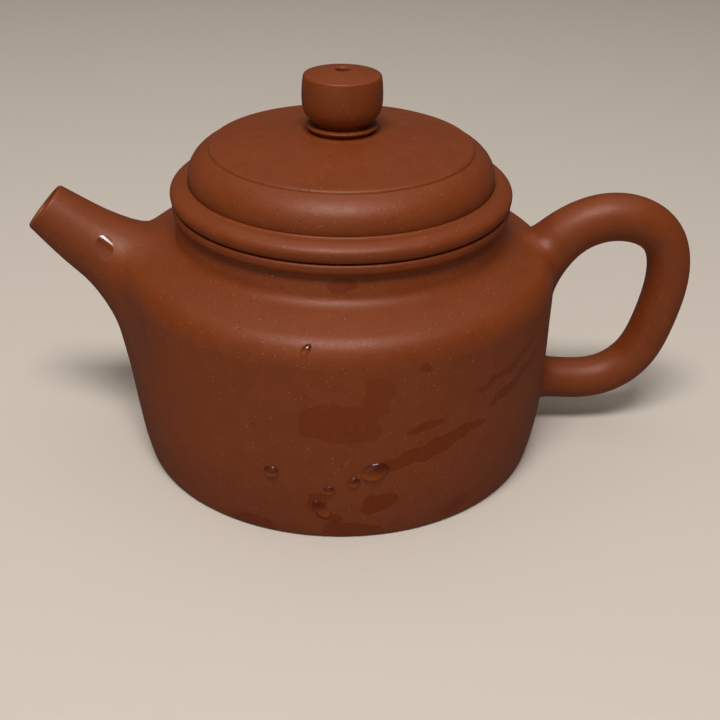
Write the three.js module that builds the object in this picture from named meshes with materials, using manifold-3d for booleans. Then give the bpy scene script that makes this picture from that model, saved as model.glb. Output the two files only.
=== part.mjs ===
// A small clay teapot of the straight-walled kind: a round pot with a slanting spout, a loop
// handle and a lifting lid. Millimetres, +Z up. The origin is on the pot's axis, in the plane
// that it stands on. The spout points to -X and the handle to +X.
//
// The clay pieces are luted together with slip before firing. Each one is a closed solid here,
// with a gap of SEAM where the slip joint is.
import * as THREE from 'three';
import { mergeVertices } from 'three/addons/utils/BufferGeometryUtils.js';
import Module from 'manifold-3d';

// ---- driving dimensions -------------------------------------------------------------------

const SEAM = 0.3; // slip joint between two clay pieces, and the lid's rest gap
const CLAY = 2.8; // thickness of the beaten clay slabs

// pot
const FOOT_R = 42.0; // radius on the table
const BELLY_R = 44.1; // widest radius of the wall
const BELLY_Z = 21; // height where the wall is widest
const BASE_TOP_Z = 3.0; // inside floor
const FOOT_ROUND = 0.9; // rounding of the foot's edge
const WALL_TOP_Z = 38; // where the wall ends and the shoulder slab begins
const SHOULDER_TURN_R = 40.7; // inner end of the shoulder's round turn
const SHOULDER_TURN_Z = 43.9;
const SHOULDER_SLOPE_R = 35.7; // end of the straight slope, where the neck's fillet begins
const SHOULDER_SLOPE_Z = 45.9;
const SHOULDER_TOP_Z = 47.4;
const NECK_FOOT_R = 33.5; // outside of the neck where it stands on the shoulder
const NECK_R = 32.7; // outside of the neck below the mouth band
const NECK_TOP_Z = 51.6;
const MOUTH_R = 28.6; // bore of the mouth
const BAND_R = 33.95; // outside of the mouth band
const MOUTH_Z = 53.9; // top of the mouth band

// lid
const RIM_R = 34.2; // widest radius of the lid's rim band
const RIM_TOP_Z = 58.1; // crease between the rim band and the dome
const CREASE_R = 30.7;
const DISC_R = 26.3; // raised disc on top of the dome
const DISC_Z = 64.9; // top of the raised disc's edge
const DOME_TOP_Z = 65.4; // dome's top face at the vent, below the raised disc
const DISC_CENTRE_Z = 67.6; // raised disc's top face below the knob collar
const LIP_R = 8.2; // small round lip of the raised disc around the collar's groove
const LID_FIT = 0.4; // running clearance of the flange in the mouth, on the radius
const FLANGE_T = 2.5; // thickness of the flange
const FLANGE_FOOT_Z = 45.2; // lower edge of the flange
const COLLAR_R = 7.1; // thin disc under the knob
const COLLAR_TOP_Z = 69.0;
const KNOB_R = 7.9;
const KNOB_EDGE_Z = 78.2; // crisp upper edge of the knob
const KNOB_TOP_Z = 79.5;
const VENT_R = 1.45; // breathing hole through the knob and the lid

// spout: mouth centre, and the radii at the mouth
const SPOUT_MOUTH_X = -59.3;
const SPOUT_MOUTH_Z = 51.6;
const SPOUT_MOUTH_R = 5.2;
const SPOUT_BORE_R = 4.2;
const SPOUT_WALL_BORE_R = 6.2; // bore where it goes through the pot's wall

// handle
const HANDLE_R = 4.45;
const HANDLE_ROOT_R = 5.9; // upper root, where the handle thickens into the shoulder

// strainer: a pierced half ball on the inside of the wall, over the spout's bore
const STRAINER_R = 8.2;
const STRAINER_T = 1.3;
const STRAINER_Z = 30.6;
const STRAINER_HOLE_R = 0.8;
const STRAINER_RINGS = [
  { tilt: 0, count: 1 },
  { tilt: 30, count: 5 },
  { tilt: 56, count: 7 },
];

// facets
const LARGE_SIDES = 40;
const SMALL_SIDES = 28;
const SPOUT_SIDES = 24;
const BORE_SIDES = 20;
const HANDLE_SIDES = 16;
const HOLE_SIDES = 6;

// ---- clay ---------------------------------------------------------------------------------

function clay(colour) {
  return new THREE.MeshStandardMaterial({ color: colour, roughness: 0.62, metalness: 0 });
}

const POT_CLAY = 0x8a4526;
const LID_CLAY = 0x8f4829;

// ---- solids -------------------------------------------------------------------------------

const wasm = await Module();
wasm.setup();

// Geometry to boolean solid: only positions, shared vertices merged, no collapsed triangles.
function toSolid(geometry) {
  const bare = geometry.clone();
  bare.deleteAttribute('normal');
  bare.deleteAttribute('uv');
  const merged = mergeVertices(bare, 1e-4);
  const index = merged.index.array;
  const triangles = [];
  for (let i = 0; i < index.length; i += 3) {
    const [a, b, c] = [index[i], index[i + 1], index[i + 2]];
    if (a !== b && b !== c && c !== a) triangles.push(a, b, c);
  }
  const mesh = new wasm.Mesh({
    numProp: 3,
    vertProperties: new Float32Array(merged.attributes.position.array),
    triVerts: new Uint32Array(triangles),
  });
  return new wasm.Manifold(mesh);
}

function toGeometry(solid) {
  const mesh = solid.getMesh();
  const geometry = new THREE.BufferGeometry();
  geometry.setAttribute('position', new THREE.BufferAttribute(mesh.vertProperties, 3));
  geometry.setIndex(new THREE.BufferAttribute(mesh.triVerts, 1));
  geometry.computeVertexNormals();
  return geometry;
}

// Revolve an outline of [radius, height] points about Z. The outline runs from the axis back to
// the axis, or is closed by repeating its first point.
function revolve(outline, sides = LARGE_SIDES) {
  const points = outline.map(([r, z]) => new THREE.Vector2(r, z));
  return new THREE.LatheGeometry(points, sides).rotateX(Math.PI / 2);
}

function ring(outline, sides = LARGE_SIDES) {
  return revolve([...outline, outline[0]], sides);
}

// Points of a curve from one place to another that leaves and arrives along two tangent points.
function bend(from, leave, arrive, to, steps) {
  const [a, b, c, d] = [from, leave, arrive, to].map(([r, z]) => new THREE.Vector2(r, z));
  const points = new THREE.CubicBezierCurve(a, b, c, d).getPoints(steps);
  return points.map((p) => [p.x, p.y]);
}

// Move an outline sideways by a distance, to its right-hand side as it is walked.
function offset(outline, distance) {
  return outline.map(([r, z], i) => {
    const before = outline[Math.max(i - 1, 0)];
    const after = outline[Math.min(i + 1, outline.length - 1)];
    const dr = after[0] - before[0];
    const dz = after[1] - before[1];
    const length = Math.hypot(dr, dz);
    return [r + (distance * dz) / length, z - (distance * dr) / length];
  });
}

// A round tube in the XZ plane, closed at both ends, through stations of [x, z, radius]. The
// radius rides along the curve as its third coordinate, so that it changes smoothly too.
function loft(stations, steps, sides) {
  const points = stations.map(([x, z, radius]) => new THREE.Vector3(x, radius, z));
  const curve = new THREE.CatmullRomCurve3(points, false, 'centripetal');
  const across = new THREE.Vector3(0, 1, 0);
  const positions = [];
  const faces = [];
  for (let i = 0; i <= steps; i += 1) {
    const station = curve.getPoint(i / steps);
    const normal = curve.getTangent(i / steps).cross(across).normalize();
    const radius = station.y;
    for (let k = 0; k < sides; k += 1) {
      const angle = (2 * Math.PI * k) / sides;
      const point = new THREE.Vector3(station.x, 0, station.z);
      point.addScaledVector(across, radius * Math.cos(angle));
      point.addScaledVector(normal, radius * Math.sin(angle));
      positions.push(point.x, point.y, point.z);
    }
  }
  for (let i = 0; i < steps; i += 1) {
    for (let k = 0; k < sides; k += 1) {
      const next = (k + 1) % sides;
      const a = i * sides + k;
      const b = i * sides + next;
      faces.push(a, b, b + sides);
      faces.push(a, b + sides, a + sides);
    }
  }
  const last = steps * sides;
  for (let k = 1; k < sides - 1; k += 1) {
    faces.push(0, k + 1, k);
    faces.push(last, last + k, last + k + 1);
  }
  const geometry = new THREE.BufferGeometry();
  geometry.setAttribute('position', new THREE.Float32BufferAttribute(positions, 3));
  geometry.setIndex(faces);
  return geometry;
}

// ---- outlines of the pot ------------------------------------------------------------------

function wallRadius(z) {
  const below = Math.max(0, 1 - z / BELLY_Z);
  return BELLY_R - (BELLY_R - FOOT_R) * below ** 2.5;
}

// outside of the wall, from the base slab up
function wallOutline() {
  const heights = [BASE_TOP_Z + SEAM, 7, 12, 19, 28, WALL_TOP_Z];
  return heights.map((z) => [wallRadius(z), z]);
}

// outside of the shoulder: round turn, straight slope, the fillet at the neck
function shoulderOutline() {
  const turn = bend(
    [BELLY_R, WALL_TOP_Z + SEAM],
    [BELLY_R, WALL_TOP_Z + 3.0],
    [SHOULDER_TURN_R + 2.2, SHOULDER_TURN_Z - 0.87],
    [SHOULDER_TURN_R, SHOULDER_TURN_Z],
    5,
  );
  const fillet = bend(
    [SHOULDER_SLOPE_R, SHOULDER_SLOPE_Z],
    [SHOULDER_SLOPE_R - 0.9, SHOULDER_SLOPE_Z + 0.36],
    [NECK_FOOT_R + 0.3, SHOULDER_TOP_Z - 0.6],
    [NECK_FOOT_R, SHOULDER_TOP_Z],
    3,
  );
  return [...turn, ...fillet];
}

// The whole outside of the pot as one solid of revolution, grown by a distance.
function potSolid(growth) {
  const outline = offset([[FOOT_R, 0], ...wallOutline(), ...shoulderOutline()], growth);
  const top = outline[outline.length - 1];
  return toSolid(revolve([[0, -growth], [outline[0][0], -growth], ...outline, [0, top[1]]]));
}

// The room inside the wall, shrunk by the seam.
function roomSolid() {
  const inside = offset(wallOutline(), -CLAY - SEAM);
  const top = inside[inside.length - 1];
  return toSolid(revolve([[0, inside[0][1]], ...inside, [0, top[1]]]));
}

// ---- spout --------------------------------------------------------------------------------

// The outside leaves the mouth at 45 degrees, steepens, and flares so that its underside
// runs down into the wall.
function spoutOutside() {
  const stations = [
    [SPOUT_MOUTH_X, SPOUT_MOUTH_Z, SPOUT_MOUTH_R],
    [-51.8, 45.0, 6.4],
    [-47.2, 41.2, 7.3],
    [-42.6, 36.2, 8.5],
    [-38.6, 30.6, 9.5],
    [-35.6, 24.6, 9.9],
    [-33.0, 18.5, 9.0],
  ];
  return toSolid(loft(stations, 14, SPOUT_SIDES));
}

// The bore starts outside the mouth and ends level, inside the wall.
function spoutBore() {
  const stations = [
    [SPOUT_MOUTH_X - 2, SPOUT_MOUTH_Z + 2, SPOUT_BORE_R],
    [-54.4, 47.2, SPOUT_BORE_R + 0.3],
    [-48.8, 41.3, 5.1],
    [-44.4, 35.2, 5.7],
    [-39.6, STRAINER_Z + 0.6, SPOUT_WALL_BORE_R],
    [-34.0, STRAINER_Z, SPOUT_WALL_BORE_R],
  ];
  return toSolid(loft(stations, 12, BORE_SIDES));
}

function spoutSolid() {
  return spoutOutside().subtract(potSolid(SEAM)).subtract(spoutBore());
}

// ---- handle -------------------------------------------------------------------------------

// An ear-shaped loop: steep out of the shoulder, a flat crown, a long drop that leans inward,
// and a nearly level lower limb.
function handleSolid() {
  const stations = [
    [38.0, 33.0, HANDLE_ROOT_R],
    [41.8, 39.6, HANDLE_ROOT_R - 0.1],
    [47.2, 45.5, 5.2],
    [54.2, 48.7, 5.0],
    [61.8, 48.2, 4.8],
    [67.6, 43.9, HANDLE_R],
    [69.7, 35.6, HANDLE_R],
    [68.3, 25.4, HANDLE_R],
    [64.8, 16.4, HANDLE_R],
    [58.1, 11.3, HANDLE_R],
    [49.4, 10.5, HANDLE_R],
    [36.0, 11.8, HANDLE_R],
  ];
  return toSolid(loft(stations, 33, HANDLE_SIDES)).subtract(potSolid(SEAM));
}

// ---- strainer -----------------------------------------------------------------------------

// a stub of a rod through the ball's centre, tilted from +X and turned about X
function strainerPin(tilt, turn) {
  const pin = new THREE.CylinderGeometry(STRAINER_HOLE_R, STRAINER_HOLE_R, STRAINER_R, HOLE_SIDES);
  pin.translate(0, STRAINER_R * 0.9, 0);
  pin.rotateZ(-Math.PI / 2);
  pin.rotateY(-THREE.MathUtils.degToRad(tilt));
  pin.rotateX(turn);
  pin.translate(strainerCentreX(), 0, STRAINER_Z);
  return toSolid(pin);
}

function strainerCentreX() {
  return -(BELLY_R - CLAY);
}

function ball(radius) {
  const geometry = new THREE.SphereGeometry(radius, 18, 10);
  geometry.rotateZ(Math.PI / 2);
  geometry.translate(strainerCentreX(), 0, STRAINER_Z);
  return toSolid(geometry);
}

function strainerSolid() {
  let dome = ball(STRAINER_R).subtract(ball(STRAINER_R - STRAINER_T)).intersect(roomSolid());
  for (const { tilt, count } of STRAINER_RINGS) {
    for (let i = 0; i < count; i += 1) {
      dome = dome.subtract(strainerPin(tilt, (2 * Math.PI * i) / count));
    }
  }
  return dome;
}

// ---- pot pieces ---------------------------------------------------------------------------

function baseDisc() {
  const r = wallRadius(BASE_TOP_Z);
  return revolve([
    [0, 0],
    [FOOT_R - FOOT_ROUND, 0],
    [FOOT_R - FOOT_ROUND * 0.3, FOOT_ROUND * 0.3],
    [FOOT_R, FOOT_ROUND],
    [r, BASE_TOP_Z],
    [0, BASE_TOP_Z],
  ]);
}

function bodyWall() {
  const outside = wallOutline();
  const inside = outside.map(([r, z]) => [r - CLAY, z]).reverse();
  return toGeometry(toSolid(ring([...outside, ...inside])).subtract(spoutBore()));
}

function shoulderPlate() {
  const outside = shoulderOutline();
  const inside = bend(
    [MOUTH_R, SHOULDER_SLOPE_Z - 0.7],
    [SHOULDER_SLOPE_R - 2, SHOULDER_TURN_Z - 1.2],
    [BELLY_R - CLAY, SHOULDER_TURN_Z - 2.2],
    [BELLY_R - CLAY, WALL_TOP_Z + SEAM],
    6,
  );
  return ring([...outside, [MOUTH_R, SHOULDER_TOP_Z], ...inside]);
}

function neckRing() {
  const foot = SHOULDER_TOP_Z + SEAM;
  return ring([
    [NECK_FOOT_R - 0.1, foot],
    [NECK_R + 0.2, foot + 1.2],
    [NECK_R, NECK_TOP_Z],
    [MOUTH_R, NECK_TOP_Z],
    [MOUTH_R, foot],
  ]);
}

function mouthBand() {
  const foot = NECK_TOP_Z + SEAM;
  return ring([
    [BAND_R - 0.6, foot],
    [BAND_R - 0.1, foot + 0.5],
    [BAND_R, foot + 1.0],
    [BAND_R, MOUTH_Z - 0.5],
    [BAND_R - 0.45, MOUTH_Z],
    [MOUTH_R + 0.3, MOUTH_Z],
    [MOUTH_R, MOUTH_Z - 0.3],
    [MOUTH_R, foot],
  ]);
}

// ---- lid pieces ---------------------------------------------------------------------------

const LID_Z = MOUTH_Z + SEAM; // underside of the lid
const FLANGE_R = MOUTH_R - LID_FIT;
const DOME_FOOT_R = CREASE_R - SEAM; // outside of the dome inside the rim band

function lidFlange() {
  const inner = FLANGE_R - FLANGE_T;
  return ring([
    [FLANGE_R - 0.5, FLANGE_FOOT_Z],
    [FLANGE_R, FLANGE_FOOT_Z + 0.5],
    [FLANGE_R, LID_Z - SEAM],
    [inner, LID_Z - SEAM],
    [inner, FLANGE_FOOT_Z + 0.5],
    [inner + 0.5, FLANGE_FOOT_Z],
  ]);
}

function lidRimBand() {
  return ring([
    [CREASE_R, LID_Z],
    [RIM_R - 1.0, LID_Z],
    [RIM_R - 0.3, LID_Z + 0.5],
    [RIM_R, LID_Z + 1.4],
    [RIM_R - 0.3, LID_Z + 2.3],
    [RIM_R - 1.2, LID_Z + 3.2],
    [CREASE_R, RIM_TOP_Z],
  ]);
}

function lidDome() {
  const outside = bend(
    [DOME_FOOT_R, RIM_TOP_Z - SEAM],
    [CREASE_R + 0.4, RIM_TOP_Z + 3.1],
    [DISC_R + 2.4, DISC_Z - 1.5],
    [DISC_R - 0.1, DISC_Z - 0.5],
    6,
  );
  const top = [[VENT_R, DOME_TOP_Z], [VENT_R, DOME_TOP_Z - CLAY]];
  const flangeInner = FLANGE_R - FLANGE_T;
  const inside = bend(
    [DISC_R - 4.2, DISC_Z - 0.7 - CLAY],
    [flangeInner - 0.3, DISC_Z - 0.9 - CLAY],
    [flangeInner, RIM_TOP_Z + 0.6],
    [flangeInner, RIM_TOP_Z - 1.6],
    4,
  );
  return ring([[DOME_FOOT_R, LID_Z], ...outside, ...top, ...inside, [flangeInner, LID_Z]]);
}

function lidRaisedDisc() {
  const sweep = bend(
    [DISC_R - 0.1, DISC_Z],
    [DISC_R - 10, DISC_Z + 1.2],
    [LIP_R + 4.5, DISC_CENTRE_Z - 0.4],
    [LIP_R + 0.5, DISC_CENTRE_Z + 0.1],
    6,
  );
  return ring([
    [DISC_R, DISC_Z - 0.35],
    ...sweep,
    [LIP_R, DISC_CENTRE_Z + 0.3],
    [LIP_R - 0.6, DISC_CENTRE_Z + 0.2],
    [LIP_R - 1.1, DISC_CENTRE_Z],
    [VENT_R, DISC_CENTRE_Z],
    [VENT_R, DOME_TOP_Z + SEAM],
    [DISC_R - 0.3, DISC_Z - 0.5 + SEAM * 0.9],
  ]);
}

function knobCollar() {
  const foot = DISC_CENTRE_Z + SEAM;
  return ring([
    [COLLAR_R - 0.9, foot],
    [COLLAR_R, foot + 0.3],
    [COLLAR_R, COLLAR_TOP_Z - 0.25],
    [COLLAR_R - 0.4, COLLAR_TOP_Z],
    [VENT_R, COLLAR_TOP_Z],
    [VENT_R, foot],
  ], SMALL_SIDES);
}

function knob() {
  const foot = COLLAR_TOP_Z + SEAM;
  const cheek = bend([5.5, foot], [7.0, foot + 0.6], [KNOB_R - 0.1, foot + 2.6], [KNOB_R, foot + 4.4], 5);
  const side = bend(
    [KNOB_R, foot + 5.4],
    [KNOB_R, foot + 7],
    [KNOB_R - 0.2, KNOB_EDGE_Z - 1.0],
    [KNOB_R - 0.3, KNOB_EDGE_Z],
    2,
  );
  return ring([
    ...cheek,
    ...side,
    [KNOB_R - 0.7, KNOB_EDGE_Z + 0.3],
    [KNOB_R * 0.55, KNOB_TOP_Z - 0.35],
    [VENT_R + 0.35, KNOB_TOP_Z],
    [VENT_R, KNOB_TOP_Z - 0.25],
    [VENT_R, foot],
  ], SMALL_SIDES);
}

// ---- assembly -----------------------------------------------------------------------------

function piece(name, geometry, colour) {
  const mesh = new THREE.Mesh(geometry, clay(colour));
  mesh.name = name;
  return mesh;
}

const pot = new THREE.Group();
pot.add(
  piece('base_disc', baseDisc(), POT_CLAY),
  piece('body_wall', bodyWall(), POT_CLAY),
  piece('shoulder_plate', shoulderPlate(), POT_CLAY),
  piece('neck_ring', neckRing(), POT_CLAY),
  piece('mouth_band', mouthBand(), POT_CLAY),
  piece('spout', toGeometry(spoutSolid()), POT_CLAY),
  piece('strainer', toGeometry(strainerSolid()), POT_CLAY),
  piece('handle', toGeometry(handleSolid()), POT_CLAY),
);

const lid = new THREE.Group();
lid.add(
  piece('lid_flange', lidFlange(), LID_CLAY),
  piece('lid_rim_band', lidRimBand(), LID_CLAY),
  piece('lid_dome', lidDome(), LID_CLAY),
  piece('lid_raised_disc', lidRaisedDisc(), LID_CLAY),
  piece('knob_collar', knobCollar(), LID_CLAY),
  piece('knob', knob(), LID_CLAY),
);

const group = new THREE.Group();
group.add(pot, lid);

export default group;
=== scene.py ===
import math

import bpy
import numpy as np
from mathutils import Matrix, Vector


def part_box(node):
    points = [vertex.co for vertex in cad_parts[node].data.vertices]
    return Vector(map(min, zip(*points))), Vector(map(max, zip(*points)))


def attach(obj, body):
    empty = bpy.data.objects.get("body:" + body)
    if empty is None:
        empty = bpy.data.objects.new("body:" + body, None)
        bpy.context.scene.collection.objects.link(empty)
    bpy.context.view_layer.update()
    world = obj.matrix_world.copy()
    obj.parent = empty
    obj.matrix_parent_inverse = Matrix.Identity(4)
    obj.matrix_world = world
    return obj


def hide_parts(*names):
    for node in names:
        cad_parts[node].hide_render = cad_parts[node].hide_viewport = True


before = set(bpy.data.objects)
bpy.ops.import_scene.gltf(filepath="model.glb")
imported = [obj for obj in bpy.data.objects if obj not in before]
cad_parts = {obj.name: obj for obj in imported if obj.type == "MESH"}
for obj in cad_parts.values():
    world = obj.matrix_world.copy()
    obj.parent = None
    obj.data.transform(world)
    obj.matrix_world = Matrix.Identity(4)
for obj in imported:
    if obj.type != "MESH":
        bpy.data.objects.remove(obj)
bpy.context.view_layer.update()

# A small unglazed clay teapot. Shapes are worked out in millimetres and scaled to metres when
# their mesh is made. Outlines are [radius, height] points about the pot's axis, which is Z.

MM = 0.001


def top(node):
    """Greatest height of a CAD node, in millimetres."""
    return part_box(node)[1].z / MM


def foot(node):
    """Lowest height of a CAD node, in millimetres."""
    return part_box(node)[0].z / MM


def reach(node):
    """Greatest X of a CAD node, in millimetres: a round piece's radius."""
    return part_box(node)[1].x / MM


# ---- dimensions, in millimetres ----

CLAY = 2.8                            # thickness of the clay slabs
BELLY_R = reach("body_wall")
FOOT_R = BELLY_R - 2.1                # radius on the table
BELLY_Z = 21.0                        # height where the wall is widest
FOOT_ROUND = 0.9                      # rounding of the foot's edge
FLOOR_Z = top("base_disc")            # inside floor
WALL_TOP_Z = top("body_wall")
TURN_R, TURN_Z = 40.7, 43.9           # inner end of the shoulder's round turn
SLOPE_R, SLOPE_Z = 35.7, 45.88        # inner end of the straight slope
SHOULDER_TOP_Z = top("shoulder_plate")
NECK_R = 32.7                         # upper end of the neck
NECK_FOOT_R = NECK_R + 0.75           # lower end of the neck, where the fillet has turned up
NECK_FOOT_Z = SLOPE_Z + 2.1
NECK_TOP_Z = top("neck_ring")
BORE_R = 28.6                         # bore of the mouth
BAND_R = reach("mouth_band")
MOUTH_Z = top("mouth_band")           # the lid's seat

LID_Z = foot("lid_rim_band")          # underside of the lid
RIM_R = reach("lid_rim_band")
RIM_TOP_Z = top("lid_rim_band")       # crease between the rim band and the dome
CREASE_R = 30.7                       # radius of that crease
DISC_R = reach("lid_raised_disc")
DISC_Z = 64.9                         # top of the raised disc's edge
DISC_FOOT_Z = foot("lid_raised_disc")
DISC_CENTRE_Z = foot("knob_collar") - 0.3    # its top under the collar: the CAD has a gap
LIP_R = 8.2                           # small round lip about the collar's groove
FLANGE_R = reach("lid_flange")
FLANGE_Z = foot("lid_flange")
FLANGE_T = 2.5                        # thickness of the flange
LID_SPRING_Z = 58.7                   # where the lid's inside starts to arch
LID_ARCH_Z = 62.6                     # top of that arch, at the breathing hole
COLLAR_R = reach("knob_collar")
COLLAR_TOP_Z = top("knob_collar")
KNOB_R = reach("knob")
KNOB_EDGE_Z = 78.2                    # crisp upper edge of the knob
KNOB_TOP_Z = top("knob")
VENT_R = 1.45                         # breathing hole

ROUND = 256                           # segments round the pot and the lid
SMALL_ROUND = 128                     # segments round the knob
TOUCHING = 1e-6                       # points nearer than this are the same


# ---- outlines ----

def bend(start, leave, arrive, end, steps):
    """Points of a cubic curve from start to end. It leaves towards one tangent point and
    arrives from the other."""
    t = np.linspace(0, 1, steps + 1)[:, None]
    p = [np.array(v, float) for v in (start, leave, arrive, end)]
    return ((1 - t) ** 3 * p[0] + 3 * (1 - t) ** 2 * t * p[1]
            + 3 * (1 - t) * t ** 2 * p[2] + t ** 3 * p[3])


def line(start, end, steps):
    """Evenly spaced points of a straight line."""
    t = np.linspace(0, 1, steps + 1)[:, None]
    return np.array(start, float) * (1 - t) + np.array(end, float) * t


def joined(*runs):
    """Runs of points as one, without the points that two neighbours share."""
    points = [runs[0]]
    for run in runs[1:]:
        same = np.hypot(*(run[0] - points[-1][-1])) < TOUCHING
        points.append(run[1:] if same else run)
    return np.vstack(points)


class Strip:
    """A stretch of outline that is smooth from end to end: its points and their normals.
    The normals point to the right-hand side as the strip is walked."""

    def __init__(self, points, normals=None):
        self.points = np.array(points, float)
        if normals is None:
            ahead = np.diff(self.points, axis=0)
            length = np.hypot(ahead[:, 0], ahead[:, 1])[:, None]
            unit = ahead / length
            tangent = np.vstack([unit[:1], unit[:-1] + unit[1:], unit[-1:]])
            tangent /= np.hypot(tangent[:, 0], tangent[:, 1])[:, None]
            normals = np.stack([tangent[:, 1], -tangent[:, 0]], 1)
        self.normals = normals

    def between(self, low, high):
        """The part of a rising strip between two heights, with its normals kept."""
        z = self.points[:, 1]
        inside = (z > low + TOUCHING) & (z < high - TOUCHING)
        heights = np.concatenate([[low], z[inside], [high]])
        points = np.stack([np.interp(heights, z, self.points[:, 0]), heights], 1)
        normals = np.stack([np.interp(heights, z, self.normals[:, k]) for k in (0, 1)], 1)
        return Strip(points, normals)


def flat(*points):
    """A straight strip between each two neighbours among the points."""
    return [Strip([points[i], points[i + 1]]) for i in range(len(points) - 1)]


def wall_radius(z):
    """Radius of the wall's outside: upright above the belly, drawn in to the foot below it."""
    below = np.maximum(0, 1 - np.asarray(z, float) / BELLY_Z)
    return BELLY_R - (BELLY_R - FOOT_R) * below ** 2.5


def pot_outside():
    """The outside of the pot from the foot's edge to the mouth band, as one smooth strip."""
    edge = bend((FOOT_R - FOOT_ROUND, 0), (FOOT_R - 0.3 * FOOT_ROUND, 0),
                (wall_radius(FOOT_ROUND) - 0.15, 0.35 * FOOT_ROUND),
                (wall_radius(FOOT_ROUND), FOOT_ROUND), 8)
    heights = np.linspace(FOOT_ROUND, WALL_TOP_Z, 40)
    wall = np.stack([wall_radius(heights), heights], 1)
    turn = bend((BELLY_R, WALL_TOP_Z), (BELLY_R, WALL_TOP_Z + 3.0),
                (TURN_R + 2.2, TURN_Z - 0.87), (TURN_R, TURN_Z), 20)
    slope = line((TURN_R, TURN_Z), (SLOPE_R, SLOPE_Z), 8)
    fillet = bend((SLOPE_R, SLOPE_Z), (SLOPE_R - 1.1, SLOPE_Z + 0.44),
                  (NECK_R + 1.0, SLOPE_Z + 1.0), (NECK_FOOT_R, NECK_FOOT_Z), 14)
    neck = bend((NECK_FOOT_R, NECK_FOOT_Z), (NECK_R + 0.55, SLOPE_Z + 3.0),
                (NECK_R + 0.1, NECK_TOP_Z - 1.5), (NECK_R, NECK_TOP_Z), 8)
    return Strip(joined(edge, wall, turn, slope, fillet, neck))


OUTSIDE = pot_outside()


# ---- meshes ----

def new_object(name, vertices, faces, corner_normals=None, vertex_normals=None):
    """A smooth shaded object from millimetre vertices, with the normals it is given. A vertex
    normal of zero length leaves that vertex as it is."""
    mesh = bpy.data.meshes.new(name)
    mesh.from_pydata((np.asarray(vertices) * MM).tolist(), [], faces)
    mesh.polygons.foreach_set("use_smooth", [True] * len(mesh.polygons))
    mesh.update()
    if corner_normals is not None:
        mesh.normals_split_custom_set(np.asarray(corner_normals).tolist())
    if vertex_normals is not None:
        mesh.normals_split_custom_set_from_vertices(np.asarray(vertex_normals).tolist())
    piece = bpy.data.objects.new(name, mesh)
    bpy.context.scene.collection.objects.link(piece)
    return piece


def turns(sides):
    """Evenly spaced angles of one full turn."""
    return np.arange(sides) * 2 * math.pi / sides


def grid_faces(rows, sides):
    """Quads between rings of vertices, row after row."""
    faces = []
    for i in range(rows - 1):
        a = i * sides
        for k in range(sides):
            n = (k + 1) % sides
            faces.append([a + k, a + n, a + sides + n, a + sides + k])
    return faces


def revolve(name, strips, sides=ROUND):
    """A closed body of revolution. Its outline is walked anticlockwise (up the outside), strip
    by strip, and either closes on itself or starts and ends on the axis."""
    rings = [strips[0].points[:1]] + [s.points[1:] for s in strips]
    outline = np.vstack(rings)
    looped = np.hypot(*(outline[0] - outline[-1])) < TOUCHING
    if looped:
        outline = outline[:-1]
    cos, sin = np.cos(turns(sides)), np.sin(turns(sides))
    vertices = []
    first = []
    for radius, z in outline:
        first.append(len(vertices))
        if radius < TOUCHING:
            vertices.append((0.0, 0.0, z))
        else:
            vertices.extend(zip(radius * cos, radius * sin, [z] * sides))
    faces = []
    normals = []
    i = 0
    for strip in strips:
        for j in range(len(strip.points) - 1):
            a = i % len(outline)
            b = (i + 1) % len(outline)
            low, high = strip.normals[j], strip.normals[j + 1]
            for k in range(sides):
                n = (k + 1) % sides
                if outline[a][0] < TOUCHING:
                    corners = [(first[a], k, low), (first[b] + n, n, high),
                               (first[b] + k, k, high)]
                elif outline[b][0] < TOUCHING:
                    corners = [(first[a] + k, k, low), (first[a] + n, n, low),
                               (first[b], k, high)]
                else:
                    corners = [(first[a] + k, k, low), (first[a] + n, n, low),
                               (first[b] + n, n, high), (first[b] + k, k, high)]
                faces.append([vertex for vertex, _, _ in corners])
                normals.extend((out * cos[side], out * sin[side], rise)
                               for _, side, (out, rise) in corners)
            i += 1
    return new_object(name, vertices, faces, corner_normals=normals)


# ---- distance fields ----

SKIN_LIFT = 0.03    # a blended root stands this far proud of the pot it melts into
ROOT_DEPTH = 1.0    # and its hidden faces lie this far under the pot's skin
STRIDE = 0.5        # step of the walk over the pot that finds a root's edge


def nearest_on(points, line_points):
    """For each point, the nearest segment of a line, the place along it and the distance."""
    best = np.full(len(points), np.inf)
    index = np.zeros(len(points), int)
    place = np.zeros(len(points))
    for i in range(len(line_points) - 1):
        start = line_points[i]
        step = line_points[i + 1] - start
        off = points - start
        t = np.clip(off @ step / (step @ step), 0, 1)
        far = ((off - t[:, None] * step) ** 2).sum(1)
        nearer = far < best
        best[nearer] = far[nearer]
        index[nearer] = i
        place[nearer] = t[nearer]
    return index, place, np.sqrt(best)


def body_distance(points):
    """Signed distance from the pot's outside, and its gradient."""
    radius = np.hypot(points[:, 0], points[:, 1])
    flat_points = np.stack([radius, points[:, 2]], 1)
    p, n = OUTSIDE.points, OUTSIDE.normals
    index, place, _ = nearest_on(flat_points, p)
    near = p[index] + place[:, None] * (p[index + 1] - p[index])
    normal = n[index] + place[:, None] * (n[index + 1] - n[index])
    normal /= np.hypot(normal[:, 0], normal[:, 1])[:, None]
    distance = ((flat_points - near) * normal).sum(1)
    share = normal[:, 0] / np.maximum(radius, 1e-6)
    gradient = np.stack([points[:, 0] * share, points[:, 1] * share, normal[:, 1]], 1)
    return distance, gradient


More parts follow.
